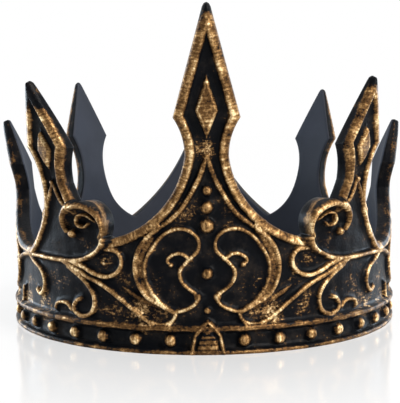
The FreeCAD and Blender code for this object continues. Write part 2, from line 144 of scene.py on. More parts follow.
LOW_CURL = [(40.5, 35.7), (36.2, 32.5), (33.4, 28.8), (31.4, 24.6), (31.0, 20.2),
            (32.1, 15.8), (34.6, 13.9), (37.2, 14.8), (38.2, 17.4), (37.2, 20.5),
            (35.8, 21.6)]
SMALL_CURL = [(39.0, 15.8), (40.8, 18.4), (43.0, 18.8), (45.0, 18.0), (45.8, 15.6)]
SIDE_CURL = [(60.5, 37.9), (56.8, 35.2), (52.8, 32.1), (51.0, 27.8), (51.3, 23.0), (53.4, 20.3),
             (55.4, 22.0)]
END_RIB = [(66.7, 20.8), (67.3, 16.5), (67.8, 12.7)]
HEART_PANEL = [(13.4, 53.6), (15.3, 48.8), (17.0, 43.0), (17.5, 37.5), (17.0, 32.0),
               (15.4, 27.0), (12.6, 22.6), (10.0, 20.2)]
HEART_HOOK = [(14.7, 52.4), (12.9, 54.3), (12.3, 56.6), (13.3, 58.6), (15.0, 58.4)]

# Ribs that follow a spike's rims down from its neck: angle from the spike's middle, share
# of the drop from neck to valley. The one beside a volute ends after fewer points.
OGEE_RIB = [(0.0, 0.0), (1.8, 0.2), (4.2, 0.38), (7.2, 0.55), (11.6, 0.69)]
OGEE_POINTS_AT_VOLUTE = 3
OGEE_SHAPE = (RIB, 2.0, 0.90, (0.6, 0.8))

# Ribs of each motif: centre line, width, height, share of gold, how narrow its ends are
EVEN = (1.0, 1.0)
HEART = [(HEART_PANEL, 3.4, 1.3, 0.70, (0.5, 0.5)),
         (HEART_RIB, RIB, RELIEF, 1.0, EVEN),
         (HEART_HOOK, FINE_RIB, RELIEF, 1.0, EVEN),
         (KIDNEY_RIB, FINE_RIB, 2.1, 1.0, EVEN),
         (HOOK_RIB, 1.8, 1.7, 1.0, (1.0, 0.8)),
         (STEM_RIB, FINE_RIB, 1.8, 1.0, EVEN)]
BRANCHES = [(LONG_BRANCH, RIB, 2.2, 1.0, EVEN),
            (LEAF_RIB, RIB, 1.2, 0.7, (0.4, 0.4)),
            (LOOP_RIB, 2.6, RELIEF, 1.0, EVEN),
            (HIGH_BRANCH, 2.6, RELIEF, 1.0, EVEN),
            (LOW_CURL, RIB, 2.2, 1.0, (0.8, 0.9)),
            (SMALL_CURL, FINE_RIB, 1.9, 1.0, EVEN),
            (SIDE_CURL, RIB, 2.2, 1.0, (0.8, 0.9)),
            (END_RIB, RIB, 1.8, 0.95, EVEN)]
VOLUTE_CURL_SHAPE = (1.7, 4.2, 1.0, (0.6, 0.8))

# Uneven spikes: angle, kind, how far out and how far up their tips are bent
BENDS = [(-45, "middle", 4.5, 0.0), (-90, "short", 1.0, 0.0), (-135, "middle", 0.0, 6.0),
         (45, "middle", 0.5, 1.4), (90, "short", -0.5, -1.2), (135, "middle", 0.0, 0.8)]

# Tips left without gold: angle, height where the gold ends, how much is missing
BARE_TIPS = [(-45, 106.0, 0.9), (45, 114.0, 0.4), (-90, 92.0, 0.5)]

# A spike's own part of the wall, in degrees from its middle: all within, none beyond
SPIKE_CORE = 11.0
SPIKE_REACH = 16.0

# Small beads as (angle, height), radius, height of the bead: in each heart, in a volute
HEART_BALLS = [((2.5, 25.4), 1.9, 2.7), (HOOK_RIB[-1], 1.3, 2.0)]
VOLUTE_BALL = ((37.7, 51.4), 2.2, 4.4)
STUD = ((0.0, 19.3), 1.6, 2.2)
NECK_BEAD_DROP = 0.3
NECK_BEAD = (1.5, 2.3)

# Beads above each heart as height, radius; then the row of beads on the band
CENTRE_BEADS = [(72.0, 2.3), (64.7, 3.0), (56.6, 3.4), (35.7, 2.8)]
CENTRE_BEAD_LIFT = 0.4
BAND_BEAD_PLACES = 38
BAND_BEAD_HEIGHT = 5.95
BAND_BEAD_RADIUS = 3.1

# Gold smudged on the black: angle, height, reach, strength
SMUDGES = [(28.0, 39.5, 3.2, 1.0), (16.5, 18.5, 9.0, 0.8), (26.0, 20.0, 7.0, 0.6),
           (64.0, 15.0, 8.0, 0.8), (70.0, 6.0, 9.0, 0.8), (23.0, 33.0, 6.0, 0.35),
           (13.0, 30.0, 5.0, 0.35), (34.0, 47.0, 5.0, 0.45), (44.0, 25.0, 7.0, 0.5),
           (52.0, 16.0, 9.0, 0.7), (48.0, 31.0, 6.0, 0.4), (5.0, 62.0, 7.0, 0.4),
           (0.0, 90.0, 5.0, 0.9), (62.0, 25.0, 7.0, 0.5), (5.5, 68.0, 4.0, 0.4)]

# Gold on the rims' outer part, and on that of the side spikes within an angle of 90
EDGE_GILT = 0.74
SIDE_EDGE_GILT = 0.55
SIDE_EDGE = 2.2
SIDE_REACH = 29.0

# Gold on the cut edge from outside to inside, in general and on the volutes
STRIP_SHARES = (0.2, 0.45, 0.72)
STRIP_GILT = (0.45, 0.10, 0.0)
LOBE_GILT = (0.75, 0.50, 0.20)
LOBE_MARGIN = 0.05

# Gold rubbed off towards the tips: how much, and over which part of the way up
RUBBED = [(0.8, 0.80, 0.95), (0.12, 0.12, 0.4)]

# Spacing of the mesh's points
CELL = 1.0
HEXAGON_ROW = 0.866
CURVE_STEP = 0.8
EDGE_STEP = 0.9
FOOT_STEP = 1.6
FRONT_STEP = 0.7
RING_START = 0.8
RING_STEP = 1.5
COARSE_STEP = 1.7
FINE_ROOM = 0.42
RING_ROOM = 0.5
COARSE_ROOM = 1.0
SEAM_ROOM = 0.3
INNER_STEP = 4.0
INNER_FINE_ROOM = 0.22
INNER_ROOM = 2.2
BAR_LEVELS = (0.3, 0.8, 1.3, 1.7, 2.0, 2.25, 2.8, 9.2, 9.6, 9.8, 10.2, 10.8, 11.4, 12.0,
              12.6, 13.0, 13.25, 13.7)
RIM_ROWS = (0.35, 0.8, 1.3, 2.1, 2.8, 3.3, 3.8, 4.3, 4.9)
INNER_ROWS = (-0.25, -0.7, -1.6)


# Wall

def lean_out(height):
    """How far the wall has leaned out at a height, with a soft bend."""
    low = LEAN_START - LEAN_BLEND
    bend = np.clip(height - low, 0.0, 2 * LEAN_BLEND)
    straight = np.maximum(height - LEAN_START - LEAN_BLEND, 0.0)
    return LEAN * (bend ** 2 / (4 * LEAN_BLEND) + straight)


def fillet(height, middle, half):
    """A rounded bar round the wall: how far it stands off at a height."""
    share = np.clip(np.abs(height - middle) / half, 0, 1)
    return FILLET * (1 - share ** 3) ** (1 / 3)


def along(angle):
    """Length along the wall from the front spike to an angle."""
    return math.radians(angle) * UNROLL


def smooth(low, high, value):
    """Soft step of a value from 0 at one end to 1 at the other."""
    share = np.clip((value - low) / (high - low), 0.0, 1.0)
    return share * share * (3 - 2 * share)


# Curves

def split(points, longest):
    """The same polyline with points added wherever a run is too long."""
    points = np.asarray(points, float)
    parts = []
    for start, end in zip(points[:-1], points[1:]):
        count = max(1, math.ceil(math.dist(start, end) / longest))
        shares = np.linspace(0, 1, count, endpoint=False)[:, None]
        parts.append(start + shares * (end - start))
    parts.append(points[-1:])
    return np.vstack(parts)


def spline(points, step):
    """Evenly spaced points along a smooth curve through the given ones."""
    points = np.asarray(points, float)
    ends = [2 * points[0] - points[1]], [2 * points[-1] - points[-2]]
    padded = np.vstack([ends[0], points, ends[1]])
    fine = []
    for a, b, c, d in zip(padded, padded[1:], padded[2:], padded[3:]):
        for t in np.linspace(0, 1, 20, endpoint=False):
            fine.append(0.5 * (2 * b + (c - a) * t + (2 * a - 5 * b + 4 * c - d) * t ** 2
                               + (3 * b - a - 3 * c + d) * t ** 3))
    fine = np.array(fine + [points[-1]])
    run = np.concatenate([[0], np.cumsum(np.hypot(*np.diff(fine, axis=0).T))])
    places = np.linspace(0, run[-1], max(2, round(run[-1] / step)) + 1)
    return np.column_stack([np.interp(places, run, fine[:, i]) for i in (0, 1)])


def arc(start, end, radius, side, count=16):
    """Points of an arc that bulges to the left (1) or right (-1) of its direction."""
    start = np.asarray(start, float)
    end = np.asarray(end, float)
    chord = end - start
    length = math.hypot(*chord)
    across = np.array([-chord[1], chord[0]]) / length
    centre = (start + end) / 2 - across * side * math.sqrt(radius ** 2 - length ** 2 / 4)
    begin = math.atan2(*(start - centre)[::-1])
    turn = math.atan2(*(end - centre)[::-1]) - begin
    turn = (turn + math.pi) % (2 * math.pi) - math.pi
    angles = begin + turn * np.linspace(0, 1, count)
    return centre + radius * np.column_stack([np.cos(angles), np.sin(angles)])


def nearest(points, line):
    """For each point: distance to a polyline, run along it there, and which side."""
    best = np.full(len(points), 1e9)
    run = np.zeros(len(points))
    side = np.ones(len(points))
    walked = 0.0
    for start, end in zip(line[:-1], line[1:]):
        step = end - start
        length = math.hypot(*step)
        offset = points - start
        share = np.clip(offset @ step / length ** 2, 0, 1)
        gap = offset - share[:, None] * step
        square = gap[:, 0] ** 2 + gap[:, 1] ** 2
        closer = square < best
        best[closer] = square[closer]
        run[closer] = walked + share[closer] * length
        turn = step[0] * offset[:, 1] - step[1] * offset[:, 0]
        side[closer] = np.sign(turn[closer])
        walked += length
    return np.sqrt(best), run, side


def offset_rows(line, offsets):
    """The polyline moved sideways by each offset; to its left is positive."""
    run = np.gradient(line, axis=0)
    run /= np.maximum(np.hypot(*run.T), 1e-9)[:, None]
    across = np.column_stack([-run[:, 1], run[:, 0]])
    return [line + across * offset for offset in offsets]


# Outline of the crown's upper edge

def spike_edge(angle, kind, before, after):
    """One spike's edge, from valley to valley, unrolled."""
    tip, shoulder, shoulder_half, neck, neck_half, sweep = KINDS[kind]
    sweep = BACK_SWEEP if angle == 180 else sweep
    left = (WALL_RADIUS * math.sin(math.radians(before[0] - angle)), before[1])
    right = (WALL_RADIUS * math.sin(math.radians(after[0] - angle)), after[1])
    blunt = tip - TIP_RISE
    pieces = [arc(left, (-neck_half, neck), sweep, -1),
              arc((-neck_half, neck), (-shoulder_half, shoulder), NECK_SWEEP, -1)[1:],
              split([(-shoulder_half, shoulder), (-TIP_HALF, blunt)], 3.0)[1:],
              [(-TIP_HALF * 0.6, tip - TIP_RISE * 0.3), (0, tip),
               (TIP_HALF * 0.6, tip - TIP_RISE * 0.3)],
              split([(TIP_HALF, blunt), (shoulder_half, shoulder)], 3.0),
              arc((shoulder_half, shoulder), (neck_half, neck), NECK_SWEEP, -1)[1:],
              arc((neck_half, neck), right, sweep, -1)[1:]]
    flat = np.vstack([np.asarray(piece, float) for piece in pieces])
    reach = WALL_RADIUS + lean_out(flat[:, 1])
    turned = np.arcsin(flat[:, 0] / reach) + math.radians(angle)
    return np.column_stack([turned * UNROLL, flat[:, 1]])


def right_half_edge():
    """The upper edge from the front tip to the back tip, and its spike parts alone."""
    centre = np.array([along(VOLUTE_ANGLE), VOLUTE_RISE])
    front, middle, short, rear, back = [spike_edge(*spike) for spike in SPIKES]
    front = front[front[:, 0] >= -1e-9]
    middle = split(middle, 0.5)
    covered = np.nonzero(np.hypot(*(middle - centre).T) < VOLUTE_RADIUS)[0]
    front = np.vstack([front, middle[1:covered[0]]])
    middle = middle[covered[-1] + 1:]
    back = back[back[:, 0] <= HALF_TURN + 1e-9]
    begin = math.atan2(*(front[-1] - centre)[::-1]) % (2 * math.pi)
    finish = math.atan2(*(middle[0] - centre)[::-1])
    angles = np.linspace(begin, finish, 40)[1:-1]
    lobe = centre + VOLUTE_RADIUS * np.column_stack([np.cos(angles), np.sin(angles)])
    rest = np.vstack([middle, short[1:], rear[1:], back[1:]])
    return np.vstack([front, lobe, rest]), front, rest


# Relief over a set of unrolled points

class Relief:
    """Height, gold and brush direction of the relief at each point."""

    def __init__(self, points):
        self.points = points
        bars = np.maximum(fillet(points[:, 1], LOW_FILLET_MIDDLE, LOW_FILLET_HALF),
                          fillet(points[:, 1], TOP_FILLET_MIDDLE, TOP_FILLET_HALF))
        self.height = bars
        self.gilt = BAR_GILT * smooth(0.55, 0.97, bars / FILLET)
        self.run = points[:, 1].copy()
        self.over = points[:, 0].copy()

    def near(self, line, reach):
        """Numbers of the points in the box round a line."""
        low = np.min(line, axis=0) - reach
        high = np.max(line, axis=0) + reach
        inside = np.all((self.points >= low) & (self.points <= high), axis=1)
        return np.nonzero(inside)[0]

    def lay(self, chosen, kept, height, gilt, run, over):
        """Lay the kept points of a feature over what is there: the higher one is seen."""
        wins = kept & (height > self.height[chosen])
        index = chosen[wins]
        self.height[index] = height[wins]
        self.gilt[index] = gilt[wins]
        self.run[index] = run[wins]
        self.over[index] = over[wins]


def round_top(share):
    """Cross-section of a rib: a rounded top and a short concave skirt."""
    top = np.sqrt(np.clip(1 - (1 - SKIRT_HEIGHT ** 2) * share ** 2, 0, 1))
    skirt = SKIRT_HEIGHT * np.clip((SKIRT - share) / (SKIRT - 1), 0, 1) ** 2
    return np.where(share < 1, top, skirt)


def ends_scale(run, length, ends):
    """Ribs narrow towards their ends by these shares, within a few millimetres."""
    rise = 5.0
    first = ends[0] + (1 - ends[0]) * np.clip(run / rise, 0, 1)
    last = ends[1] + (1 - ends[1]) * np.clip((length - run) / rise, 0, 1)
    return np.minimum(first, last)


class Rib:
    """A rounded ridge of even width along a smooth line."""

    def __init__(self, line, width, height, gilt, ends):
        self.line = line
        self.half = width / 2
        self.height = height
        self.gilt = gilt
        self.ends = ends

    def raise_on(self, relief):
        chosen = relief.near(self.line, self.half * SKIRT)
        gap, run, _ = nearest(relief.points[chosen], self.line)
        length = np.hypot(*np.diff(self.line, axis=0).T).sum()
        scale = ends_scale(run, length, self.ends)
        share = gap / (self.half * scale)
        relief.lay(chosen, share < SKIRT, self.height * scale * round_top(share),
                   self.gilt * smooth(1.3, 0.4, share), run, gap)

    def rows(self):
        shares = (0, 0.5, -0.5, 0.9, -0.9, 1.3, -1.3)
        return offset_rows(self.line, [self.half * share for share in shares])


class Crest:
    """The volutes' front edge: steep towards the hollow, broad and round outside."""

    def __init__(self, line):
        self.line = line
        self.length = np.hypot(*np.diff(line, axis=0).T).sum()

    def size_at(self, run):
        last = self.length
        height = np.interp(run, [0, 7, 15, last - 16, last],
                           [RELIEF, 3.0, VOLUTE_HEIGHT, VOLUTE_HEIGHT, VOLUTE_END_HEIGHT])
        outer = np.interp(run, [0, 7, 15, last - 14, last - 4],
                          [1.2, 1.6, VOLUTE_OUTER_FALL, VOLUTE_OUTER_FALL, 1.3])
        return height, outer

    def raise_on(self, relief):
        chosen = relief.near(self.line, VOLUTE_OUTER_FALL * SKIRT)
        gap, run, side = nearest(relief.points[chosen], self.line)
        height, outer = self.size_at(run)
        share = gap / np.where(side > 0, outer, RIB / 2)
        gilt = np.where(side > 0, smooth(1.05, 0.1, share), smooth(1.2, 0.6, share))
        relief.lay(chosen, share < SKIRT, height * round_top(share), gilt, run, gap)

    def rows(self):
        inner = [0, -0.6, -1.0, -1.25, -1.5]
        outer = [0.7, 1.4, 2.1, 2.8, 3.3, 3.9, 4.6]
        return offset_rows(self.line, inner + outer)


class Dome:
    """A round bead."""

    def __init__(self, centre, radius, height):
        self.centre = np.asarray(centre, float)
        self.radius = radius
        self.height = height

    def raise_on(self, relief):
        chosen = relief.near(self.centre[None, :], self.radius)
        offset = relief.points[chosen] - self.centre
        gap = np.hypot(*offset.T)
        share = gap / self.radius
        height = self.height * np.sqrt(np.clip(1 - share ** 2.4, 0, 1))
        relief.lay(chosen, share < 1, height, smooth(1.2, 0.5, share), offset[:, 0], gap)

    def rows(self):
        rings = []
        for share, count in ((0.02, 1), (0.36, 6), (0.66, 11), (0.86, 15), (0.97, 18),
                             (1.12, 18)):
            turn = np.linspace(0, 2 * math.pi, count, endpoint=False)
            ring = np.column_stack([np.cos(turn), np.sin(turn)])
            rings.append(self.centre + self.radius * share * ring)
        return rings


def depth_inside(points, corners):
    """Distance of each point inside a convex outline that runs anticlockwise."""
    depth = np.full(len(points), 1e9)
    for start, end in zip(corners, np.roll(corners, -1, axis=0)):
        step = (end - start) / math.dist(start, end)
        offset = points - start
        depth = np.minimum(depth, step[0] * offset[:, 1] - step[1] * offset[:, 0])
    return depth


def inset_rows(corners, depths, step):
    """Rows of points along a convex outline at several depths inside it."""
    middle = corners.mean(axis=0)
    reach = depth_inside(middle[None, :], corners)[0]
    closed = split(np.vstack([corners, corners[:1]]), step)
    return [middle + (closed - middle) * (1 - depth / reach) for depth in depths]


class Lozenge:
    """A raised lozenge with bevelled edges."""

    BEVEL = 1.2
    FOOT = 0.25

    def __init__(self, angle, kind):
        low, waist, high = LOZENGES[kind]
        half = KINDS[kind][2] * LOZENGE_SHARE
        turn = half / (WALL_RADIUS + lean_out(waist)) * UNROLL
        middle = along(angle)
        self.corners = np.array([(middle, low), (middle + turn, waist), (middle, high),
                                 (middle - turn, waist)])

    def raise_on(self, relief):
        chosen = relief.near(self.corners, 1.0)
        depth = depth_inside(relief.points[chosen], self.corners)
        height = RELIEF * np.clip((depth + self.FOOT) / self.BEVEL, 0, 1) ** 0.7
        # A painted highlight on the bevel: the middle gets less gold, so the bevelled rim shows
        # brighter.
        gilt = smooth(-0.3, 0.2, depth) * (1 - 0.3 * smooth(0.9, 1.6, depth))
        relief.lay(chosen, depth > -self.FOOT, height, gilt, relief.points[chosen, 1], depth)

    def rows(self):
        return inset_rows(self.corners, (-0.6, -0.2, 0.2, 0.55, 0.95, 1.4, 2.2), 0.9)


class Cartouche:
    """The front ornament: a pointed arch over a ribbed dome."""

    CORNERS = np.array([(-8.0, -2.0), (8.0, -2.0), (8.0, 0.0), (6.2, 8.7), (3.4, 12.7),
                        (0.0, 15.9), (-3.4, 12.7), (-6.2, 8.7), (-8.0, 0.0)])
    HEIGHT = 4.1
    BASE = 2.2
    ARCH = 1.7
    GROOVE = 2.7
    RIB_SPACING = 2.3
    RIB_DEPTH = 0.5

    def raise_on(self, relief):
        chosen = relief.near(self.CORNERS, 1.0)
        points = relief.points[chosen]
        depth = depth_inside(points, self.CORNERS)
        arch = np.clip(1 - ((depth - self.ARCH / 2) / (self.ARCH / 2)) ** 2, 0, 1) ** 0.4
        waves = 0.5 + 0.5 * np.cos(points[:, 1] * 2 * math.pi / self.RIB_SPACING)
        dome = smooth(self.GROOVE - 0.6, self.GROOVE + 0.8, depth)
        rise = self.HEIGHT - self.BASE
        height = self.BASE + np.maximum(rise * arch,
                                        rise * dome - self.RIB_DEPTH * waves * dome)
        height = np.where(depth < self.ARCH / 2, self.HEIGHT * arch, height)
        gilt = np.maximum(arch, dome * (0.9 - 0.6 * waves))
        relief.lay(chosen, depth > 0, height, gilt, points[:, 1], depth)

    def rows(self):
        depths = (-0.3, 0.1, 0.4, 0.85, 1.3, 1.6, 2.0, 2.4, 2.9, 3.5)
        wide = np.arange(-5.0, 5.1, 0.8)
        tall = np.arange(0.3, 12.0, 0.55)
        grid = np.array([(x, z) for x in wide for z in tall])
        return inset_rows(self.CORNERS, depths, 0.8) + [grid]


class Rims:
    """The raised rim along every spike's edge, with its ridge near the inner side."""

    def __init__(self, edges):
        self.edges = edges

    def raise_on(self, relief):
        for line in self.edges:
            chosen = relief.near(line, RIM_WIDTH + 1)
            chosen = chosen[relief.points[chosen, 1] > LOW_VALLEY - 2 * RIM_WIDTH]
            gap, run, _ = nearest(relief.points[chosen], line)
            rise = RIM_EDGE + (RELIEF - RIM_EDGE) * (gap / RIM_RIDGE)
            fall = RELIEF * (1 - smooth(RIM_RIDGE + 0.2, RIM_WIDTH + RIM_FOOT, gap))
            height = np.where(gap < RIM_RIDGE, rise, fall)
            gilt = smooth(RIM_WIDTH + 0.2, RIM_RIDGE + 0.6, gap)
            gilt *= EDGE_GILT + (1 - EDGE_GILT) * smooth(1.2, RIM_RIDGE, gap)
            aside = np.abs(relief.points[chosen, 0] - along(90)) < along(SIDE_REACH)
            gilt *= np.where(aside & (gap < SIDE_EDGE), SIDE_EDGE_GILT, 1.0)
            relief.lay(chosen, gap < RIM_WIDTH + RIM_FOOT, height, gilt, run, gap)

    def rows(self):
        rows = []
        for line in self.edges:
            dense = split(line, 1.0)
            inward = offset_rows(dense, [-offset for offset in RIM_ROWS])
            for offset, row in zip(RIM_ROWS, inward):
                gap = nearest(row, line)[0]
                rows.append(row[gap > offset - 0.12])
        return rows


# What is on the right half of the crown

def set_down(point, middle=0.0, side=1, squash=1.0):
    """A point of the drawing, turned to its place and pressed down if asked."""
    angle, height = point
    return along(middle + side * angle), BAND_TOP + (height - BAND_TOP) * squash


def drawn(points, *place):
    """A smooth centre line through points of the drawing at their place."""
    return spline([set_down(point, *place) for point in points], CURVE_STEP)


def ribs(motif, *place):
    """The ribs of a motif at their place."""
    return [Rib(drawn(line, *place), *shape) for line, *shape in motif]


def heart(middle, squash):
    """The two scrolls of a heart motif with their inner ribs."""
    parts = []
    for side in (1, -1):
        place = (middle, side, squash)
        parts += ribs(HEART, *place)
        parts += [Dome(set_down(centre, *place), *shape) for centre, *shape in HEART_BALLS]
    return parts


def volute():
    """The big scroll beside the front spike, on top of the branches."""
    centre, *shape = VOLUTE_BALL
    return [Crest(drawn(VOLUTE_CREST)), Rib(drawn(VOLUTE_CURL), *VOLUTE_CURL_SHAPE),
            Dome(set_down(centre), *shape)]


def ogee(angle, kind):
    """Thin ribs that follow a spike's rims down from a point at its neck."""
    neck = KINDS[kind][3]
    drop = neck - LOW_VALLEY
    parts = []
    for side in (1, -1):
        at_volute = angle == 45 and side == -1
        count = OGEE_POINTS_AT_VOLUTE if at_volute else len(OGEE_RIB)
        placed = [(along(angle + side * turn), neck - fall * drop)
                  for turn, fall in OGEE_RIB[:count]]
        parts.append(Rib(spline(placed, CURVE_STEP), *OGEE_SHAPE))
    return parts


def features(edges):
    """Everything that stands off the right half of the wall."""
    centre, *shape = STUD
    parts = [Rims(edges), Cartouche(), Dome(set_down(centre), *shape)]
    parts += heart(0, 1.0) + heart(90, SIDE_SQUASH) + heart(180, BACK_SQUASH)
    parts += ribs(BRANCHES, 0, 1, 1.0) + volute() + ribs(BRANCHES, 180, -1, BACK_SQUASH)
    for angle, kind, _, _ in SPIKES:
        parts += [Lozenge(angle, kind)] + ogee(angle, kind)
        neck = KINDS[kind][3]
        parts.append(Dome((along(angle), neck - NECK_BEAD_DROP), *NECK_BEAD))
    for angle, squash in ((0, 1.0), (180, BACK_SQUASH)):
        for height, radius in CENTRE_BEADS:
            centre = set_down((0, height), angle, 1, squash)
            parts.append(Dome(centre, radius, radius + CENTRE_BEAD_LIFT))
    for place in range(1, BAND_BEAD_PLACES // 2 + 1):
        turn = along(360.0 / BAND_BEAD_PLACES * place)
        parts.append(Dome((turn, BAND_BEAD_HEIGHT), BAND_BEAD_RADIUS, FILLET))
    return parts


# Points and triangles of the sheet

def closed_loop(top):
    """Boundary of the right half: along the top, down the back, along the foot, up.

    The second value is the boundary's runs that get a cut edge: the top and the foot.
    """
    edge = split(top, EDGE_STEP)
    back = split([(HALF_TURN, top[-1, 1]), (HALF_TURN, 0)], EDGE_STEP)
    foot = split([(HALF_TURN, 0), (0, 0)], FOOT_STEP)
    front = split([(0, 0), (0, top[0, 1])], FRONT_STEP)
    edge[0] = (0, top[0, 1])
    edge[-1] = (HALF_TURN, top[-1, 1])
    loop = np.vstack([edge[:-1], back[:-1], foot[:-1], front[:-1]])
    foot_start = len(edge) + len(back) - 2
    return loop, [(0, len(edge) - 1), (foot_start, foot_start + len(foot) - 1)]


def within(points, loop):
    """Which points lie inside the loop."""
    inside = np.zeros(len(points), bool)
    x, z = points.T
    for (x1, z1), (x2, z2) in zip(loop, np.roll(loop, -1, axis=0)):
        if z1 == z2:
            continue
        crosses = (z1 > z) != (z2 > z)
        inside ^= crosses & (x < x1 + (z - z1) * (x2 - x1) / (z2 - z1))
    return inside


def spread(groups, taken):
    """Points of all groups, in order, that keep each group's distance from the rest."""
    grid = {}
    for x, z in taken:
        grid.setdefault((int(x // CELL), int(z // CELL)), []).append((x, z))
    kept = []
    for points, room in groups:
        reach = int(math.ceil(room / CELL))
        for x, z in points:
            column, row = int(x // CELL), int(z // CELL)
            cells = [(i, j) for i in range(column - reach, column + reach + 1)
                     for j in range(row - reach, row + reach + 1)]
            if all((a - x) ** 2 + (b - z) ** 2 >= room * room
                   for cell in cells for a, b in grid.get(cell, ())):
                grid.setdefault((column, row), []).append((x, z))
                kept.append((x, z))
    return np.array(kept)


def hexagons(step):
    """An even field of points over the whole sheet."""
    columns = np.arange(step, HALF_TURN, step)
    rows = np.arange(step, KINDS["tall"][0], step * HEXAGON_ROW)
    return np.array([(x + (step / 2 if index % 2 else 0), z)
                     for index, z in enumerate(rows) for x in columns])


def off_seams(points):
    """The points that keep clear of the middle plane, where the halves join."""
    return points[(points[:, 0] > SEAM_ROOM) & (points[:, 0] < HALF_TURN - SEAM_ROOM)]


def triangles(loop, inside):
    """The sheet's points and triangles, with the loop as its boundary."""
    points = np.vstack([loop, inside])
    edges = [(i, (i + 1) % len(loop)) for i in range(len(loop))]
    made = delaunay_2d_cdt([Vector(point) for point in points], edges, [], 1, 1e-6)
    source = [origin[0] for origin in made[3]]
    faces = [[source[corner] for corner in face] for face in made[2]]
    return points, faces


def rounding(gap, radius):
    """How far a rounded edge has fallen at a distance from it."""
    share = np.clip(1 - gap / radius, 0, 1)
    return radius * (1 - np.sqrt(1 - share ** 2))


def uneven(points):
    """Slight unevenness of a hand-finished moulding."""
    x, z = points.T
    return UNEVENNESS * (np.sin(0.23 * x + 1.3) * np.sin(0.19 * z + 0.4)
                         + np.sin(0.61 * x + 0.35 * z) * np.sin(0.47 * z - 0.29 * x + 2.0))


def tip_share(points):
    """How near each point is to a spike's tip, from 0 at the shoulders to 1."""
    share = np.zeros(len(points))
    for angle, kind, _, _ in SPIKES:
        tip, shoulder, half = KINDS[kind][:3]
        own = np.abs(points[:, 0] - along(angle)) < half
        near_tip = np.clip((points[:, 1] - shoulder) / (tip - shoulder), 0, 1)
        share = np.where(own, near_tip ** 1.5, share)
    return share


def outer_sheet(top, spike_edges, loop):
    """Points, triangles, radii and paint of the outer surface."""
    parts = features(spike_edges)
    rows = [row for part in parts for row in part.rows()]
    turns = np.arange(RING_START, HALF_TURN, RING_STEP)
    rings = [np.column_stack([turns, np.full(len(turns), level)]) for level in BAR_LEVELS]
    fine = np.vstack(rows)
    fine = fine[within(fine, loop)]
    coarse = hexagons(COARSE_STEP)
    coarse = coarse[within(coarse, loop)]
    inside = spread([(fine, FINE_ROOM), (np.vstack(rings), RING_ROOM),
                     (coarse, COARSE_ROOM)], loop)
    inside = off_seams(inside)
    inside = inside[within(inside, loop)]
    points, faces = triangles(loop, inside)
    relief = Relief(points)
    for part in parts:
        part.raise_on(relief)
    gap = nearest(points, top)[0]
    rise = relief.height + uneven(points) * smooth(0, 3, gap)
    rise -= rounding(gap, OUTER_ROUND + TIP_OUTER_ROUND * tip_share(points))
    radius = WALL_RADIUS + lean_out(points[:, 1]) + rise
    return points, faces, radius, relief


def inner_sheet(top, loop):
    """Points, triangles and radii of the plain inner surface."""
    fine = np.vstack(offset_rows(split(top, RING_STEP), INNER_ROWS))
    coarse = hexagons(INNER_STEP)
    inside = off_seams(spread([(fine[within(fine, loop)], INNER_FINE_ROOM),
                               (coarse[within(coarse, loop)], INNER_ROOM)], loop))
    points, faces = triangles(loop, inside)
    gap = nearest(points, top)[0]
    thinned = TIP_THINNING * tip_share(points)
    radius = INNER_RADIUS + lean_out(points[:, 1]) + rounding(gap, INNER_ROUND) + thinned
    return points, faces, radius


def roll_up(points, radius):
    """Unrolled points at their radii, as places in metres."""
    turn = points[:, 0] / UNROLL
    return MM * np.column_stack([radius * np.sin(turn), -radius * np.cos(turn),
                                 points[:, 1]])


def smudges(points):
    """How much gold has been smudged on the black at each point."""
    amount = np.zeros(len(points))
    for angle, height, reach, strength in SMUDGES:
        for middle in (angle, 180 - angle):
            offset = points - (along(middle), height)
            spot = strength * np.exp(-(offset[:, 0] ** 2 + offset[:, 1] ** 2) / reach ** 2)
            amount = np.maximum(amount, spot)
    return amount


def edge_strip(loop, runs, outer_radius, inner_radius, first, shares):
    """The cut edge: rows between the two surfaces' boundaries, along the given runs."""
    count = len(loop)
    depth = np.array(shares)[:, None]
    radii = outer_radius[:count] * (1 - depth) + inner_radius[:count] * depth
    rows = [np.arange(count)]
    places = []
    for order, radius in enumerate(radii):
        rows.append(first[0] + order * count + np.arange(count))
        places.append(roll_up(loop, radius))
    rows.append(first[1] + np.arange(count))
    faces = []
    for start, end in runs:
        for i in range(start, end):
            j = (i + 1) % count
            for near_row, far_row in zip(rows, rows[1:]):
                faces.append([near_row[i], near_row[j], far_row[j], far_row[i]])
    return np.vstack(places), faces


def strip_gilt(loop):
    """Gold on the cut edge: more on the volutes' round sides than elsewhere."""
    middle = (along(VOLUTE_ANGLE), VOLUTE_RISE)
    lobe = np.hypot(*(loop - middle).T) < VOLUTE_RADIUS + LOBE_MARGIN
    return np.concatenate([np.where(lobe, on_lobe, share)
                           for share, on_lobe in zip(STRIP_GILT, LOBE_GILT)])


def half_crown():
    """Places, faces, material of each face and paint of the right half."""
    top, front_edge, rest_edge = right_half_edge()
    loop, runs = closed_loop(top)
    points, faces, radius, relief = outer_sheet(top, [front_edge, rest_edge], loop)
    inner_points, inner_faces, inner_radius = inner_sheet(top, loop)
    inner_first = len(points)
    strip_first = inner_first + len(inner_points)
    strip, strip_faces = edge_strip(loop, runs, radius, inner_radius,
                                    (strip_first, inner_first), STRIP_SHARES)
    places = np.vstack([roll_up(points, radius), roll_up(inner_points, inner_radius),
                        strip])
    outside = faces + strip_faces
    inside = [[inner_first + corner for corner in face[::-1]] for face in inner_faces]
    slots = [0] * len(outside) + [1] * len(inside)
    near_tip = tip_share(points)
    rubbed = sum(part * smooth(low, high, near_tip) for part, low, high in RUBBED)
    plain = np.zeros(len(inner_points))
    spare = np.zeros(len(places) - len(points))
    paint = {
        "gilt": np.concatenate([relief.gilt * (1 - rubbed), plain, strip_gilt(loop)]),
        "brush": np.concatenate([relief.run, spare]),
        "ridge": np.concatenate([relief.over, spare]),
        "smudge": np.concatenate([smudges(points), spare]),
    }
    return places, outside + inside, slots, paint


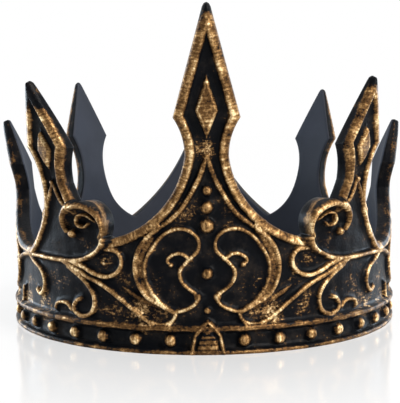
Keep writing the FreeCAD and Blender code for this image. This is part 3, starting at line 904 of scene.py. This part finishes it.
def bent(places):
    """The real spikes are a little uneven: bend and stretch some of them."""
    radius = np.hypot(places[:, 0], places[:, 1])
    turn = np.degrees(np.arctan2(places[:, 0], -places[:, 1]))
    height = places[:, 2] / MM
    for angle, kind, outward, upward in BENDS:
        away = np.abs((turn - angle + 180) % 360 - 180)
        own = smooth(SPIKE_REACH, SPIKE_CORE, away)
        low = LOW_VALLEY + 12
        share = np.clip((height - low) / (KINDS[kind][0] - low), 0, 1.1)
        radius = radius + MM * outward * own * share ** 2
        places[:, 2] += MM * upward * own * share
    angle = np.radians(turn)
    places[:, 0] = radius * np.sin(angle)
    places[:, 1] = -radius * np.cos(angle)
    return places


def without_tips(places, gilt):
    """Take the gold off the tips that are bare."""
    turn = np.degrees(np.arctan2(places[:, 0], -places[:, 1]))
    height = places[:, 2] / MM
    for angle, low, missing in BARE_TIPS:
        own = smooth(SPIKE_REACH, SPIKE_CORE, np.abs(turn - angle))
        gilt = gilt * (1 - missing * own * smooth(low, low + 6.0, height))
    return gilt


def both_halves(places, faces, slots, paint):
    """Add the mirror image, sharing the points that lie on the middle plane."""
    count = len(places)
    shared = np.abs(places[:, 0]) < 1e-6
    places[shared, 0] = 0
    other = np.where(shared, np.arange(count), count + np.cumsum(~shared) - 1)
    mirrored = places[~shared] * (-1, 1, 1)
    faces += [[int(other[corner]) for corner in face[::-1]] for face in faces]
    paint = {name: np.concatenate([values, values[~shared]])
             for name, values in paint.items()}
    return np.vstack([places, mirrored]), faces, slots + slots, paint


def crown_mesh():
    places, faces, slots, paint = both_halves(*half_crown())
    paint["gilt"] = without_tips(places, paint["gilt"])
    places = bent(places)
    mesh = bpy.data.meshes.new("moulded_crown")
    mesh.from_pydata(places.tolist(), [], [[int(i) for i in face] for face in faces])
    mesh.polygons.foreach_set("material_index", slots)
    for name, values in paint.items():
        layer = mesh.attributes.new(name, "FLOAT", "POINT")
        layer.data.foreach_set("value", values.astype(np.float32))
    shape = bmesh.new()
    shape.from_mesh(mesh)
    loose = [vert for vert in shape.verts if not vert.link_faces]
    bmesh.ops.delete(shape, geom=loose, context="VERTS")
    shape.to_mesh(mesh)
    shape.free()
    mesh.shade_smooth()
    return mesh


# Materials

class Graph:
    """Short ways to add and join nodes."""

    def __init__(self, tree):
        self.tree = tree

    def node(self, kind, inputs=None, **settings):
        made = self.tree.nodes.new(kind)
        for key, value in settings.items():
            setattr(made, key, value)
        for key, value in (inputs or {}).items():
            self.feed(made.inputs[key], value)
        return made

    def feed(self, socket, value):
        if isinstance(value, bpy.types.NodeSocket):
            self.tree.links.new(value, socket)
        else:
            socket.default_value = value

    def maths(self, operation, *values, clamp=False):
        made = self.node("ShaderNodeMath", operation=operation, use_clamp=clamp)
        for socket, value in zip(made.inputs, values):
            self.feed(socket, value)
        return made.outputs[0]

    def centred(self, value, strength):
        """A noise value about zero instead of a half, and stronger or weaker."""
        return self.maths("MULTIPLY", self.maths("SUBTRACT", value, 0.5), strength)

    def attribute(self, name):
        return self.node("ShaderNodeAttribute", attribute_name=name).outputs["Fac"]

    def noise(self, vector, scale, detail=3.0, roughness=0.5):
        made = self.node("ShaderNodeTexNoise", {"Vector": vector, "Scale": scale,
                                                "Detail": detail, "Roughness": roughness})
        return made.outputs[0]

    def between(self, value, low, high, to_low=0.0, to_high=1.0):
        made = self.node("ShaderNodeMapRange", {"Value": value, "From Min": low,
                                                "From Max": high, "To Min": to_low,
                                                "To Max": to_high},
                         interpolation_type="SMOOTHSTEP")
        return made.outputs[0]

    def blend(self, share, first, second):
        made = self.node("ShaderNodeMix", data_type="RGBA")
        self.feed(made.inputs["Factor"], share)
        self.feed(made.inputs["A"], first)
        self.feed(made.inputs["B"], second)
        return made.outputs["Result"]


def new_material(name):
    """A material with its graph and its main shader."""
    material = bpy.data.materials.new(name)
    material.use_nodes = True
    graph = Graph(material.node_tree)
    return material, graph, material.node_tree.nodes["Principled BSDF"]


BLACK = (0.0022, 0.0026, 0.0036, 1)
BLACK_WORN = (0.012, 0.010, 0.009, 1)
# Gold tones: the dark one is painted shade down the flanks and thin mottled gold, the bright
# one a painted highlight on the crests.
GOLD_DARK = (0.085, 0.042, 0.015, 1)
GOLD = (0.33, 0.190, 0.075, 1)
GOLD_HIGHLIGHT = (0.86, 0.66, 0.37, 1)
SLATE = (0.014, 0.018, 0.029, 1)
SLATE_DARK = (0.009, 0.012, 0.020, 1)
WHITE = (1, 1, 1, 1)
FLOOR_WHITE = (0.86, 0.86, 0.86, 1)
MIRROR_WHITE = (0.9, 0.9, 0.9, 1)

# Scale and strength of the gold's unevenness
PATCH_SCALE = 150.0
PATCH_STRENGTH = 1.5
STREAK_STRETCH = (1.3, 0.22, 1.0)
STREAK_STRENGTH = 0.6
SPECK_SCALE = 850.0
SPECK_STRENGTH = 1.1
GOLD_METALLIC = 0.5
BLACK_ROUGHNESS = 0.38
GOLD_ROUGHNESS = 0.40
BLACK_GLOSS = 0.05
SLATE_ROUGHNESS = 0.62
SLATE_GLOSS = 0.25


def gilded_black():
    """Satin black with gold brushed over whatever stands up, worn and streaked; the gold
    carries painted highlights on the crests and painted shade down the flanks.
    """
    material, graph, shader = new_material("gilded_black")
    place = graph.node("ShaderNodeTexCoord").outputs["Object"]
    brush = graph.node("ShaderNodeCombineXYZ", {"X": graph.attribute("brush"),
                                                "Y": graph.attribute("ridge")}).outputs[0]
    stretched = graph.node("ShaderNodeVectorMath", {0: brush, 1: STREAK_STRETCH},
                           operation="MULTIPLY").outputs[0]
    streaks = graph.noise(stretched, 1.0, 2.0)
    patches = graph.noise(place, PATCH_SCALE, 3.0, 0.6)
    specks = graph.noise(place, SPECK_SCALE, 3.0, 0.65)

    worn = graph.centred(patches, PATCH_STRENGTH)
    drawn_out = graph.centred(streaks, STREAK_STRENGTH)
    grainy = graph.centred(specks, SPECK_STRENGTH)
    unevenness = graph.maths("ADD", graph.maths("ADD", worn, drawn_out), grainy)
    raised = graph.maths("ADD", graph.attribute("gilt"), unevenness)
    relief = graph.between(raised, 0.38, 0.62)

    dabs = graph.maths("ADD", graph.maths("MULTIPLY", graph.attribute("smudge"), 0.8),
                       graph.maths("ADD", worn, graph.maths("MULTIPLY", grainy, 1.5)))
    dabs = graph.maths("ADD", dabs, graph.maths("MULTIPLY", drawn_out, 1.5))
    ground = graph.between(dabs, 0.36, 0.66)
    gold = graph.maths("MAXIMUM", relief, graph.maths("MULTIPLY", ground, 0.85))

    # Painted highlight and shade in the gold: brighter where the gold is fullest, on the
    # relief's crests and in heavy smudges, darker down the flanks.
    lit = graph.maths("MAXIMUM", graph.between(raised, 0.55, 1.45),
                      graph.between(dabs, 0.45, 1.10))
    tone = graph.maths("ADD", lit, graph.maths("MULTIPLY", drawn_out, 0.6), clamp=True)
    paint = graph.blend(graph.between(tone, 0.0, 0.55), GOLD_DARK, GOLD)
    paint = graph.blend(graph.between(tone, 0.5, 1.0), paint, GOLD_HIGHLIGHT)
    black = graph.blend(graph.between(patches, 0.45, 0.75), BLACK, BLACK_WORN)
    colour = graph.blend(gold, black, paint)

    grain = graph.maths("ADD", graph.maths("MULTIPLY", specks, 0.6),
                        graph.maths("MULTIPLY", streaks, graph.attribute("gilt")))
    bump = graph.node("ShaderNodeBump", {"Height": grain, "Strength": 0.35,
                                         "Distance": 0.0009}).outputs["Normal"]
    shader.inputs["Specular IOR Level"].default_value = BLACK_GLOSS
    graph.feed(shader.inputs["Base Color"], colour)
    graph.feed(shader.inputs["Metallic"], graph.maths("MULTIPLY", gold, GOLD_METALLIC))
    graph.feed(shader.inputs["Roughness"],
               graph.between(gold, 0.0, 1.0, BLACK_ROUGHNESS, GOLD_ROUGHNESS))
    graph.feed(shader.inputs["Normal"], bump)
    return material


def dark_slate():
    """The plain matte inside."""
    material, graph, shader = new_material("dark_slate")
    place = graph.node("ShaderNodeTexCoord").outputs["Object"]
    cloud = graph.noise(place, 28.0, 4.0, 0.6)
    grain = graph.noise(place, 1400.0, 2.0)
    colour = graph.blend(graph.between(cloud, 0.35, 0.65), SLATE_DARK, SLATE)
    bump = graph.node("ShaderNodeBump", {"Height": grain, "Strength": 0.2,
                                         "Distance": 0.0003}).outputs["Normal"]
    graph.feed(shader.inputs["Base Color"], colour)
    graph.feed(shader.inputs["Normal"], bump)
    shader.inputs["Roughness"].default_value = SLATE_ROUGHNESS
    shader.inputs["Specular IOR Level"].default_value = SLATE_GLOSS
    return material


def studio_floor():
    """White floor that keeps a soft shadow and a faint mirror image of the foot."""
    material, graph, shader = new_material("studio_floor")
    place = graph.node("ShaderNodeTexCoord").outputs["Object"]
    length = graph.node("ShaderNodeVectorMath", {0: place},
                        operation="LENGTH").outputs["Value"]
    rays = graph.node("ShaderNodeLightPath").outputs
    shader.inputs["Base Color"].default_value = FLOOR_WHITE
    shader.inputs["Roughness"].default_value = 0.9
    shader.inputs["Specular IOR Level"].default_value = 0.0
    mirror = graph.node("ShaderNodeBsdfGlossy", {"Color": MIRROR_WHITE,
                                                 "Roughness": 0.12}).outputs[0]
    shine = graph.between(length, 0.095, 0.23, 0.30, 0.02)
    white = graph.node("ShaderNodeEmission", {"Color": WHITE,
                                              "Strength": 1.0}).outputs[0]
    seen = graph.maths("MAXIMUM", rays["Is Camera Ray"], rays["Is Glossy Ray"])
    fade = graph.between(length, 0.10, 0.24, 0.85, 1.0)
    share = graph.maths("MULTIPLY", seen, fade)
    plain = graph.node("ShaderNodeMixShader", {0: share, 1: shader.outputs[0],
                                               2: white}).outputs[0]
    polished = graph.node("ShaderNodeMixShader", {0: shine, 1: plain, 2: mirror})
    output = material.node_tree.nodes["Material Output"]
    graph.feed(output.inputs["Surface"], polished.outputs[0])
    return material


# Scene

FLOOR_SIZE = 12.0
WORLD_LIGHT = 0.22
FRONT_LIGHT = 0.10
IMAGE_HEIGHT = 403
FOCAL_PIXELS = 908
SENSOR_WIDTH = 36.0
CAMERA_PLACE = (-0.0077, -0.48994, 0.1014)

# Yaw, pitch and roll of the camera in degrees
CAMERA_TURN = (0.69, 4.98, 0.45)

# Name, place, size, power and colour of each lamp
LAMP_TARGET = (0, 0, 0.07)
LAMPS = [("key", (0.60, -0.60, 0.62), (0.45, 0.6), 16.0, (1.0, 0.97, 0.93)),
         ("fill", (-0.80, -0.30, 0.35), (0.4, 0.8), 2.0, (0.90, 0.95, 1.0)),
         ("left_rim", (-0.75, 0.35, 0.12), (0.5, 0.36), 9.0, (0.72, 0.86, 1.0)),
         ("right_rim", (0.75, 0.35, 0.12), (0.5, 0.36), 6.0, (0.72, 0.86, 1.0)),
         ("top", (0.0, 0.1, 0.95), (0.7, 0.5), 3.5, (1, 1, 1))]


def add_crown():
    mesh = crown_mesh()
    mesh.materials.append(gilded_black())
    mesh.materials.append(dark_slate())
    crown = bpy.data.objects.new("moulded_crown", mesh)
    bpy.context.scene.collection.objects.link(crown)
    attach(crown, "root")
    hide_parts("crown")


def add_floor():
    bpy.ops.mesh.primitive_plane_add(size=FLOOR_SIZE, location=(0, 0, 0))
    floor = bpy.context.active_object
    floor.name = "studio_floor"
    floor.data.materials.append(studio_floor())


def add_lamp(name, place, size, power, colour):
    """A soft rectangular lamp that faces the crown."""
    lamp = bpy.data.lights.new(name, "AREA")
    lamp.shape = "RECTANGLE"
    lamp.size, lamp.size_y = size
    lamp.energy = power
    lamp.color = colour
    carrier = bpy.data.objects.new(name, lamp)
    carrier.location = place
    aim = Vector(LAMP_TARGET) - Vector(place)
    carrier.rotation_euler = aim.to_track_quat("-Z", "Y").to_euler()
    bpy.context.scene.collection.objects.link(carrier)


def add_world():
    """White to the camera and a soft light; what gloss mirrors of it fades to the front."""
    world = bpy.data.worlds.new("studio")
    world.use_nodes = True
    graph = Graph(world.node_tree)
    rays = graph.node("ShaderNodeLightPath").outputs
    seen = graph.maths("MAXIMUM", rays["Is Camera Ray"], rays["Is Glossy Ray"])
    direction = graph.node("ShaderNodeTexCoord").outputs["Generated"]
    depth = graph.node("ShaderNodeSeparateXYZ", {0: direction}).outputs["Y"]
    mirrored = graph.node("ShaderNodeMapRange", {"Value": depth, "From Min": -0.75,
                                                 "From Max": 0.15,
                                                 "To Min": FRONT_LIGHT}).outputs[0]
    bright = graph.maths("MAXIMUM", rays["Is Camera Ray"], mirrored)
    strength = graph.node("ShaderNodeMapRange", {"Value": seen, "To Min": WORLD_LIGHT,
                                                 "To Max": bright}).outputs[0]
    background = world.node_tree.nodes["Background"]
    background.inputs["Color"].default_value = WHITE
    graph.feed(background.inputs["Strength"], strength)
    bpy.context.scene.world = world


def add_camera():
    camera = bpy.data.cameras.new("camera")
    camera.sensor_width = SENSOR_WIDTH
    camera.lens = camera.sensor_width * FOCAL_PIXELS / IMAGE_HEIGHT
    camera.clip_start = 0.01
    carrier = bpy.data.objects.new("camera", camera)
    yaw, pitch, roll = [math.radians(angle) for angle in CAMERA_TURN]
    level = Vector((math.sin(yaw), math.cos(yaw), 0))
    forward = level * math.cos(pitch) + Vector((0, 0, -math.sin(pitch)))
    right = level.cross(Vector((0, 0, 1)))
    up = right.cross(forward)
    right_rolled = right * math.cos(roll) - up * math.sin(roll)
    up_rolled = up * math.cos(roll) + right * math.sin(roll)
    turn = Matrix((right_rolled, up_rolled, -forward)).transposed()
    carrier.matrix_world = Matrix.Translation(CAMERA_PLACE) @ turn.to_4x4()
    bpy.context.scene.collection.objects.link(carrier)
    bpy.context.scene.camera = carrier


add_crown()
add_floor()
add_world()
for lamp_settings in LAMPS:
    add_lamp(*lamp_settings)
add_camera()
bpy.context.scene.view_settings.view_transform = "Standard"
